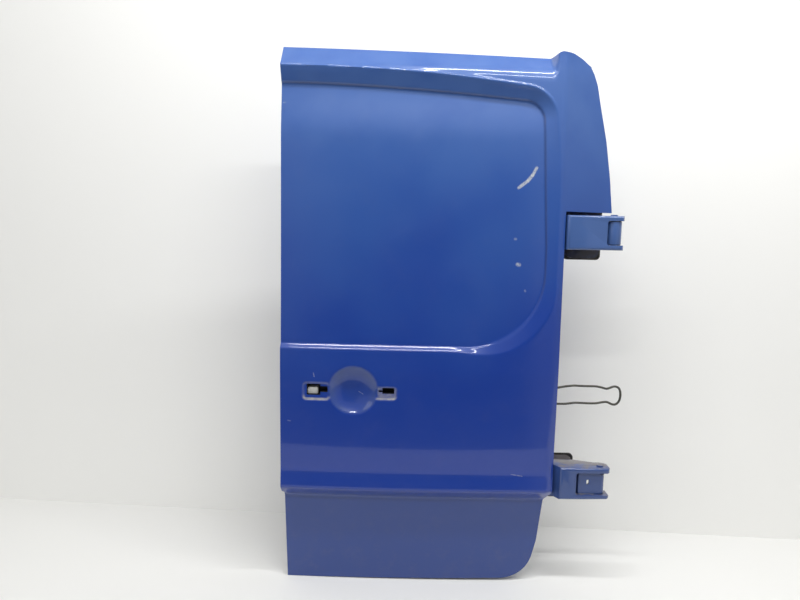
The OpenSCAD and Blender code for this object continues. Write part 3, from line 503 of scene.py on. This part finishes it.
# Materials.
class Nodes:
    """A short way to write a node tree."""

    def __init__(self, name):
        self.material = bpy.data.materials.new(name)
        self.material.use_nodes = True
        self.tree = self.material.node_tree
        self.shader = self.tree.nodes["Principled BSDF"]
        self.where = self.add("ShaderNodeTexCoord").outputs["Object"]

    def add(self, kind, **values):
        node = self.tree.nodes.new(kind)
        for key, value in values.items():
            setattr(node, key, value)
        return node

    def link(self, out, socket):
        self.tree.links.new(out, socket)

    def put(self, socket, value):
        if hasattr(value, "is_output"):
            self.link(value, socket)
        else:
            socket.default_value = value

    def noise(self, scale, detail=4.0, rough=0.5, stretch=None, distortion=0.0):
        node = self.add("ShaderNodeTexNoise")
        node.inputs["Scale"].default_value = scale
        node.inputs["Detail"].default_value = detail
        node.inputs["Roughness"].default_value = rough
        node.inputs["Distortion"].default_value = distortion
        source = self.where
        if stretch:
            mapping = self.add("ShaderNodeMapping")
            mapping.inputs["Scale"].default_value = stretch
            self.link(source, mapping.inputs["Vector"])
            source = mapping.outputs["Vector"]
        self.link(source, node.inputs["Vector"])
        return node.outputs["Fac"]

    def levels(self, value, low, high, to_low=0.0, to_high=1.0):
        node = self.add("ShaderNodeMapRange", interpolation_type="SMOOTHSTEP")
        self.put(node.inputs["Value"], value)
        node.inputs["From Min"].default_value = low
        node.inputs["From Max"].default_value = high
        node.inputs["To Min"].default_value = to_low
        node.inputs["To Max"].default_value = to_high
        return node.outputs["Result"]

    def math(self, op, a, b=0.0):
        node = self.add("ShaderNodeMath", operation=op)
        self.put(node.inputs[0], a)
        self.put(node.inputs[1], b)
        return node.outputs[0]

    def mix(self, fac, a, b):
        node = self.add("ShaderNodeMix", data_type="RGBA")
        self.put(node.inputs["Factor"], fac)
        for socket, value in ((node.inputs[6], a), (node.inputs[7], b)):
            self.put(socket, value if hasattr(value, "is_output") else (*value, 1.0))
        return node.outputs[2]

    def bump(self, height, strength, distance):
        node = self.add("ShaderNodeBump")
        node.inputs["Strength"].default_value = strength
        node.inputs["Distance"].default_value = distance
        self.link(height, node.inputs["Height"])
        self.link(node.outputs["Normal"], self.shader.inputs["Normal"])

    def attribute(self, name):
        """The three channels of a colour attribute."""
        node = self.add("ShaderNodeAttribute", attribute_name=name)
        split = self.add("ShaderNodeSeparateColor")
        self.link(node.outputs["Color"], split.inputs[0])
        return split.outputs

    def stroke(self, ends, width, soft=0.5):
        """1 within a narrow stroke on the door's face between two points of it, in millimetres."""
        (ax, az), (bx, bz) = [row((e[0], 100.0, e[1]))[[0, 2]] for e in ends]
        long = math.hypot(bx - ax, bz - az)
        ux, uz = (bx - ax) / long, (bz - az) / long
        x, z = self.axis("X"), self.axis("Z")
        along = self.math("ADD", self.math("MULTIPLY", self.math("SUBTRACT", x, ax), ux),
                          self.math("MULTIPLY", self.math("SUBTRACT", z, az), uz))
        off = self.math("ADD", self.math("MULTIPLY", self.math("SUBTRACT", x, ax), -uz),
                        self.math("MULTIPLY", self.math("SUBTRACT", z, az), ux))
        past = self.math("SUBTRACT", self.math("ABSOLUTE", self.math("SUBTRACT", along, long / 2)), long / 2)
        gap = self.math("SQRT", self.math("ADD", self.math("POWER", off, 2.0),
                                          self.math("POWER", self.math("MAXIMUM", past, 0.0), 2.0)))
        return self.levels(gap, width / 2000 * (1 + soft), width / 2000 * (1 - soft))

    def facing(self, name):
        split = self.add("ShaderNodeSeparateXYZ")
        self.link(self.add("ShaderNodeTexCoord").outputs["Normal"], split.inputs[0])
        return split.outputs[name]

    def axis(self, name):
        node = self.add("ShaderNodeSeparateXYZ")
        self.link(self.where, node.inputs[0])
        return node.outputs[name]


PAINT = (0.006, 0.038, 0.280)
# Painted light: the blue as it looks lit from above, towards the roof.
PAINT_LIT_TOP = (0.032, 0.098, 0.350)
# Chalked paint together with a painted reflection of the light above.
PAINT_CHALK_AND_SHEEN = (0.098, 0.188, 0.450)
PAINT_GREY = (0.027, 0.059, 0.190)
DUST = (0.25, 0.21, 0.18)
# The castings' blues, darker low down and lighter high up: painted light from above.
CASTING_BLUES_LIT_HIGH = (0.036, 0.074, 0.205), (0.058, 0.122, 0.310)


def door_height(n):
    """Height above the door's bottom edge, in metres."""
    return n.math("ADD", n.axis("Z"), ORIGIN[2] / 1000.0)


SCUFFS = [([(650, 1131), (640, 1112)], 7.0, 0.75), ([(640, 1112), (628, 1097)], 8.0, 0.75),
          ([(628, 1097), (606, 1080)], 7.5, 0.75), ([(602, 950), (604, 950)], 6.0, 0.30),
          ([(611, 885), (615, 884)], 9.0, 0.55), ([(633, 818), (634, 816)], 5.0, 0.22),
          ([(616, 325), (646, 320)], 2.5, 0.30), ([(88, 592), (90, 582)], 2.5, 0.35),
          ([(20, 461), (27, 460)], 2.5, 0.30), ([(206, 541), (218, 534)], 1.6, 0.30)]


def sheet_marks(n, blue):
    """Painted shade in the window's inner edge, dust with a painted sheen in the dish, soil round the slots, and
    the scuffs of the photograph.
    """
    painted_crease_shade, dish_dust_and_sheen, rim = n.attribute("painted_shade_and_soil")[:3]
    grain = n.levels(n.noise(70.0, 5.0, 0.7), 0.35, 0.65)
    # Painted shade: the window's inner edge darkened towards a deep navy.
    blue = n.mix(n.math("MULTIPLY", painted_crease_shade, 0.62), blue, (0.006, 0.017, 0.095))
    # Dust and painted sheen: the dish lightened towards a greyish blue.
    blue = n.mix(n.math("MULTIPLY", dish_dust_and_sheen, n.levels(n.noise(18.0, 4.0, 0.6), 0.3, 0.7, 0.30, 0.60)), blue,
                 (0.048, 0.085, 0.215))
    blue = n.mix(n.math("MULTIPLY", rim, n.math("ADD", n.math("MULTIPLY", grain, 0.45), 0.50)), blue,
                 (0.43, 0.41, 0.34))
    outside = n.levels(n.facing("Y"), -0.2, -0.5)
    ragged = n.math("MULTIPLY", outside, n.levels(n.noise(260.0, 3.0, 0.7), 0.35, 0.55, 0.35, 1.0))
    for ends, width, amount in SCUFFS:
        mask = n.math("MULTIPLY", n.math("MULTIPLY", n.stroke(ends, width), ragged), amount)
        blue = n.mix(mask, blue, (0.58, 0.60, 0.60))
    return blue


def castings(n, height, blue):
    """Dust on what faces up, and the bare or dirty plates where the leaves were bolted to the body: near black
    under the upper arm, which is painted shadow, and a light dusty grey over the lower arm, which is dust with
    painted light.
    """
    top = n.math("MULTIPLY", n.levels(n.facing("Z"), 0.5, 0.9),
                 n.levels(n.math("ADD", n.noise(34.0, 5.0, 0.65), n.levels(n.axis("Y"), -0.11, -0.05, 0.0, 0.22)),
                          0.46, 0.66, 0.10, 0.85))
    blue = n.mix(top, blue, (0.135, 0.115, 0.105))
    low = n.levels(height, 0.60, 0.50)
    plate = n.levels(n.axis("Y"), -0.022, -0.012)
    # Painted shade and light: the plates near black on the upper hinge, in the arm's shadow, and a lit dusty grey
    # on the lower hinge.
    plate_dirt_and_shade = n.mix(low, (0.022, 0.017, 0.022), (0.20, 0.175, 0.165))
    return n.mix(n.math("MULTIPLY", plate, n.levels(n.noise(25.0, 4.0, 0.6), 0.25, 0.6, 0.75, 0.95)), blue, plate_dirt_and_shade)


def paint(name, body=None, dusty=0.0):
    """Blue paint: deep on the belly, lighter towards the roof as painted light from above, with chalky patches
    there that are partly a painted reflection, and dusty on the skirt.
    """
    n = Nodes(name)
    height = door_height(n)
    cloud = n.noise(3.2, 2.0, 0.5)
    # Painted light: the blue grows lighter towards the roof, as if lit by and reflecting the light from above.
    lit_from_above = n.levels(n.math("ADD", height, n.levels(cloud, 0.3, 0.7, -0.10, 0.10)), 0.50, 1.32)
    blue = n.mix(lit_from_above, PAINT, PAINT_LIT_TOP)
    # Chalky patches towards the roof: partly chalking of the paint, partly a painted reflection of the light above.
    chalk_and_sheen = n.math("MULTIPLY", n.levels(height, 1.00, 1.36),
                   n.levels(n.noise(6.5, 3.0, 0.55), 0.28, 0.66, 0.35, 1.0))
    blue = n.mix(n.math("MULTIPLY", chalk_and_sheen, 0.48), blue, PAINT_CHALK_AND_SHEEN)
    grey = n.levels(n.math("ADD", height, n.levels(cloud, 0.3, 0.7, -0.008, 0.008)), 0.275, 0.235)
    blue = n.mix(n.math("MULTIPLY", grey, 0.6), blue, PAINT_GREY)
    if body:
        # Painted light: the castings grow lighter with height, as the light from above falls.
        blue = n.mix(0.8, blue, n.mix(n.levels(height, 0.4, 0.9), *body))
    dust = n.math("MULTIPLY", n.levels(height, 0.30, 0.0, 0.25, 1.0),
                  n.levels(n.noise(23.0, 9.0, 0.72), 0.45, 0.85, dusty, dusty + 0.10))
    blue = n.mix(dust, blue, DUST)
    blue = castings(n, height, blue) if body else sheet_marks(n, blue)
    n.link(blue, n.shader.inputs["Base Color"])
    n.link(n.levels(n.noise(11.0, 5.0, 0.6), 0.35, 0.8, 0.30, 0.44), n.shader.inputs["Roughness"])
    n.shader.inputs["Coat Weight"].default_value = 0.8
    n.shader.inputs["Coat Roughness"].default_value = 0.05
    n.shader.inputs["Specular IOR Level"].default_value = 0.3
    n.bump(n.noise(140.0, 2.0, 0.5), 0.03, 0.0003)
    return n.material


def plain_metal(name, colour, worn, roughness, metallic=1.0):
    n = Nodes(name)
    patch = n.levels(n.noise(30.0, 6.0, 0.7), 0.35, 0.75)
    n.link(n.mix(patch, colour, worn), n.shader.inputs["Base Color"])
    n.shader.inputs["Metallic"].default_value = metallic
    uneven = n.levels(n.noise(90.0, 4.0, 0.6), 0.3, 0.8, roughness - 0.1, roughness + 0.15)
    n.link(uneven, n.shader.inputs["Roughness"])
    n.bump(n.noise(600.0, 3.0, 0.6), 0.12, 0.0003)
    return n.material


def moulded(name, colour, worn, roughness):
    return plain_metal(name, colour, worn, roughness, 0.0)


def make_materials():
    return {
        "paint_blue": paint("blue_paint"),
        "hinge_blue": paint("blue_paint_on_castings", body=CASTING_BLUES_LIT_HIGH, dusty=0.05),
        "pin_steel": plain_metal("plated_pin", (0.30, 0.29, 0.27), (0.16, 0.13, 0.11), 0.45),
        "latch_steel": plain_metal("zinc_plate", (0.50, 0.49, 0.44), (0.36, 0.33, 0.27), 0.42),
        "wire_steel": plain_metal("dull_wire", (0.060, 0.060, 0.052), (0.10, 0.095, 0.080), 0.55, 0.4),
        "black_steel": moulded("black_enamel", (0.018, 0.018, 0.020), (0.05, 0.045, 0.04), 0.5),
        "black_plastic": moulded("black_moulding", (0.016, 0.016, 0.018), (0.045, 0.04, 0.038), 0.6),
        "grey_plastic": moulded("grey_moulding", (0.64, 0.64, 0.62), (0.52, 0.50, 0.46), 0.55),
        "rubber": moulded("black_rubber", (0.012, 0.012, 0.012), (0.06, 0.052, 0.048), 0.75),
    }


def dress_cad(materials):
    slots = {s["node"]: s["material_slot"] for s in frame["record"]["subparts"]}
    for node, obj in frame["nodes"].items():
        obj.data.materials.clear()
        obj.data.materials.append(materials[slots[node]])


# Light and stage. The wall stands a little askew, as it does in the photograph.
FLOOR_Z, FLOOR_Y, FLOOR_FAR, WALL_Y, WALL_TURN = 0.0, -900.0, 4500.0, 415.0, -0.068
PALE = (0.87, 0.868, 0.85)


def flat(name, corners, material):
    mesh = bpy.data.meshes.new(name)
    mesh.from_pydata([tuple(p) for p in row(corners)], [], [(0, 1, 2, 3)])
    obj = bpy.data.objects.new(name, mesh)
    bpy.context.scene.collection.objects.link(obj)
    mesh.materials.append(material)


def pale(name, level):
    n = Nodes(name)
    n.link(n.mix(n.noise(1.5, 2.0), [level * c for c in PALE], [0.98 * level * c for c in PALE]),
           n.shader.inputs["Base Color"])
    n.shader.inputs["Roughness"].default_value = 0.8
    return n


def one_sided(n):
    """Clear from behind, so that the wall doesn't stand before the door's inner side."""
    mix = n.add("ShaderNodeMixShader")
    n.link(n.add("ShaderNodeNewGeometry").outputs["Backfacing"], mix.inputs["Fac"])
    n.link(n.shader.outputs["BSDF"], mix.inputs[1])
    n.link(n.add("ShaderNodeBsdfTransparent").outputs["BSDF"], mix.inputs[2])
    n.link(mix.outputs["Shader"], n.tree.nodes["Material Output"].inputs["Surface"])
    return n


def make_stage():
    floor, wall = pale("pale_floor", 0.91).material, one_sided(pale("pale_wall", 1.04)).material
    back = [(x, WALL_Y + WALL_TURN * x) for x in (-4000, 5000)]
    flat("floor", [(-4000, FLOOR_Y, FLOOR_Z), (5000, FLOOR_Y, FLOOR_Z), (5000, FLOOR_FAR, FLOOR_Z),
                   (-4000, FLOOR_FAR, FLOOR_Z)], floor)
    flat("wall", [(*back[0], FLOOR_Z), (*back[1], FLOOR_Z), (*back[1], 4500), (*back[0], 4500)], wall)


def area(name, at, aim, size, power, colour=(1, 1, 1)):
    data = bpy.data.lights.new(name, "AREA")
    data.shape = "RECTANGLE"
    data.size, data.size_y = size
    data.energy = power
    data.color = colour
    lamp = bpy.data.objects.new(name, data)
    bpy.context.scene.collection.objects.link(lamp)
    lamp.location = Vector(row(at))
    lamp.rotation_mode = "QUATERNION"
    lamp.rotation_quaternion = (Vector(row(aim)) - lamp.location).to_track_quat("-Z", "Y")


def make_world():
    """A soft room: pale ceiling and side walls, darker straight in front of the door and low down."""
    world = bpy.data.worlds.new("world")
    bpy.context.scene.world = world
    world.use_nodes = True
    tree = world.node_tree
    where = tree.nodes.new("ShaderNodeTexCoord").outputs["Generated"]
    split = tree.nodes.new("ShaderNodeSeparateXYZ")
    tree.links.new(where, split.inputs[0])

    def levels(out, low, high, to_low, to_high):
        node = tree.nodes.new("ShaderNodeMapRange")
        node.interpolation_type = "SMOOTHSTEP"
        tree.links.new(out, node.inputs["Value"])
        for socket, value in zip(("From Min", "From Max", "To Min", "To Max"), (low, high, to_low, to_high)):
            node.inputs[socket].default_value = value
        return node.outputs["Result"]

    def join(op, a, b):
        node = tree.nodes.new("ShaderNodeMath")
        node.operation = op
        tree.links.new(a, node.inputs[0])
        tree.links.new(b, node.inputs[1])
        return node.outputs[0]

    left = join("MULTIPLY", levels(split.outputs["X"], -0.08, -0.30, 0.0, 1.0),
                levels(split.outputs["Z"], -0.30, 0.10, 0.25, 1.0))
    sides = join("MAXIMUM", left, levels(split.outputs["X"], 0.24, 0.32, 0.0, 1.0))
    high = levels(split.outputs["Z"], 0.05, 0.35, 0.0, 1.0)
    behind = levels(split.outputs["Y"], -0.3, 0.1, 0.0, 1.0)
    bright = levels(join("MAXIMUM", join("MAXIMUM", sides, high), behind), 0.0, 1.0, 0.09, 0.42)
    back = tree.nodes["Background"]
    back.inputs["Color"].default_value = (1.0, 1.0, 0.975, 1)
    tree.links.new(bright, back.inputs["Strength"])


def make_light():
    area("front_strip", (725, -1900, 2750), (725, 0, 800), (2.5, 0.11), 31)
    area("top_strip", (725, -700, 2850), (725, 0, 600), (2.5, 0.12), 43)
    area("left_lamp", (-2400, -1500, 1900), (350, 0, 700), (1.6, 1.6), 10)
    view = bpy.context.scene.view_settings
    view.view_transform = "Standard"


make_camera()
make_world()
make_light()
make_stage()
MATERIALS = make_materials()
dress_cad(MATERIALS)
make_skin(MATERIALS["paint_blue"])
make_small_pieces(MATERIALS)
